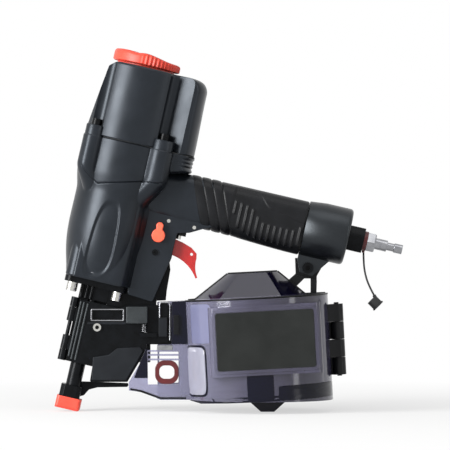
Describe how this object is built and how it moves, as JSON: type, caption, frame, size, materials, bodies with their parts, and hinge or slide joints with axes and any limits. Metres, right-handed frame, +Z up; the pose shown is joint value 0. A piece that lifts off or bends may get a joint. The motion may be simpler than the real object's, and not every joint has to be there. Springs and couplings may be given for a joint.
{
  "type": "pneumatic nail gun",
  "caption": "Pneumatic coil siding nailer with a tilted cylinder body, rubber gripped handle, red trigger, hinged nose door and an opening canister magazine.",
  "frame": {"origin": "middle of the footprint, on the surface that the tool stands on", "axes": "+Z up; the nose is at -X and the air plug at +X; the magazine cover and nose door face -Y"},
  "size_m": [0.2892, 0.1226, 0.3016],
  "materials": {
    "magnesium_casting": "satin black powder coat on cast magnesium",
    "gasket": "matt",
    "bright_steel": "bright zinc plated",
    "black_steel": "black oxide steel",
    "sleeve_alloy": "hard anodised",
    "bumper_rubber": "cast urethane",
    "spring_steel": "bright",
    "grip_rubber": "matt overmould",
    "end_cap_plastic": "glass filled nylon, satin",
    "seal_red": "moulded",
    "plug_steel": "nickel plated",
    "cord_rubber": "matt",
    "black_plastic": "moulded",
    "grey_casting": "satin grey",
    "canister_plastic": "smoked translucent polycarbonate",
    "red_polymer": "moulded nylon, satin",
    "selector_plastic": "moulded",
    "red_paint": "powder coated steel",
    "red_rubber": "moulded urethane",
    "label_grey": "blank plate"
  },
  "bodies": {
    "frame": {"body_casting": "magnesium_casting", "cap_gasket": "gasket", "cylinder_cap": "magnesium_casting", "cap_bolts": "bright_steel", "deflector_bolt": "black_steel", "cylinder_sleeve": "sleeve_alloy", "bumper": "bumper_rubber", "head_valve_spring": "spring_steel", "handle_grip": "grip_rubber", "end_cap": "end_cap_plastic", "end_cap_bolts": "black_steel", "air_bush": "black_steel", "swivel_seal": "seal_red", "air_plug": "plug_steel", "tether": "cord_rubber", "dust_cap": "cord_rubber", "trigger_pin": "bright_steel", "trigger_valve": "black_plastic", "valve_spring": "spring_steel", "roll_pins": "bright_steel", "cheek_screw": "bright_steel", "nose_guide": "black_steel", "nose_bolts": "bright_steel", "feed_plate": "black_steel", "feed_cylinder": "grey_casting", "feed_spring": "spring_steel", "door_hinge_pin": "bright_steel", "contact_spring": "spring_steel", "magazine_frame": "canister_plastic", "frame_hinge_leaf": "black_plastic", "magazine_hinge_pin": "bright_steel", "platform_post": "black_plastic", "magazine_foot": "canister_plastic", "magazine_bracket": "black_plastic", "bracket_bolt": "black_steel"},
    "deflector": {"exhaust_deflector": "red_polymer"},
    "drive_piston": {"piston": "sleeve_alloy", "driver_blade": "bright_steel", "piston_ring": "gasket"},
    "head_valve_ring": {"head_valve": "black_plastic"},
    "selector": {"selector_lever": "selector_plastic"},
    "trigger_body": {"trigger": "red_paint"},
    "stem": {"valve_stem": "bright_steel"},
    "contact": {"contact_arm": "black_steel", "no_mar_tip": "red_rubber"},
    "feeder": {"feed_piston": "bright_steel", "feed_pawl": "black_steel"},
    "door": {"nose_door": "black_steel", "door_guard": "grey_casting", "door_screw": "bright_steel", "stop_block": "grey_casting", "latch_spring": "spring_steel"},
    "latch": {"door_latch": "black_steel"},
    "cover": {"magazine_cover": "canister_plastic", "window_ring": "seal_red", "neck_block": "grey_casting", "cover_catch": "black_plastic", "label_plate": "label_grey", "cover_hinge_leaf": "black_plastic"},
    "platform": {"nail_platform": "black_plastic"}
  },
  "joints": [
    {"name": "deflector_turn", "type": "hinge", "parent": "frame", "child": "deflector", "pos_m": [-0.06865, 0, 0.28549], "axis": [0.225, 0, 0.9744], "continuous": true},
    {"name": "piston_drive", "type": "slide", "parent": "frame", "child": "drive_piston", "axis": [-0.225, 0, -0.9744], "range_m": [0, 0.075]},
    {"name": "head_valve_lift", "type": "slide", "parent": "frame", "child": "head_valve_ring", "axis": [0.225, 0, 0.9744], "range_m": [0, 0.005], "stiffness_N_per_m": 1000, "springref_m": -0.006, "deforming": ["head_valve_spring"]},
    {"name": "selector_turn", "type": "hinge", "parent": "frame", "child": "selector", "pos_m": [-0.05831, 0, 0.14578], "axis": [0, 1, 0], "range_deg": [0, 90]},
    {"name": "trigger_pull", "type": "hinge", "parent": "frame", "child": "trigger_body", "pos_m": [-0.05831, 0, 0.14578], "axis": [0, -1, 0], "range_deg": [0, 9], "stiffness_Nm_per_rad": 0.3, "springref_deg": -17.19},
    {"name": "valve_stem_lift", "type": "slide", "parent": "frame", "child": "stem", "axis": [0.225, 0, 0.9744], "range_m": [0, 0.00264], "deforming": ["valve_spring"]},
    {"name": "contact_slide", "type": "slide", "parent": "frame", "child": "contact", "axis": [0.225, 0, 0.9744], "range_m": [0, 0.012], "stiffness_N_per_m": 1500, "springref_m": -0.015, "deforming": ["contact_spring"]},
    {"name": "feed_slide", "type": "slide", "parent": "frame", "child": "feeder", "axis": [1, 0, 0], "range_m": [0, 0.009], "stiffness_N_per_m": 300, "springref_m": -0.006, "deforming": ["feed_spring"]},
    {"name": "nose_door_swing", "type": "hinge", "parent": "frame", "child": "door", "pos_m": [-0.13898, -0.007, 0.0431], "axis": [-0.225, 0, -0.9744], "range_deg": [0, 100]},
    {"name": "door_latch_slide", "type": "slide", "parent": "door", "child": "latch", "axis": [0, 0, 1], "range_m": [0, 0.004], "stiffness_N_per_m": 500, "springref_m": -0.004, "deforming": ["latch_spring"]},
    {"name": "magazine_cover_swing", "type": "hinge", "parent": "frame", "child": "cover", "pos_m": [0.09196, -0.00115, 0.03046], "axis": [-0.0523, 0, 0.9986], "range_deg": [0, 100]},
    {"name": "platform_height", "type": "slide", "parent": "frame", "child": "platform", "axis": [-0.0523, 0, 0.9986], "range_m": [0, 0.015]}
  ],
  "couplings": [
    {"joint": "valve_stem_lift", "follows": "trigger_pull", "m_per_rad": 0.0165}
  ]
}
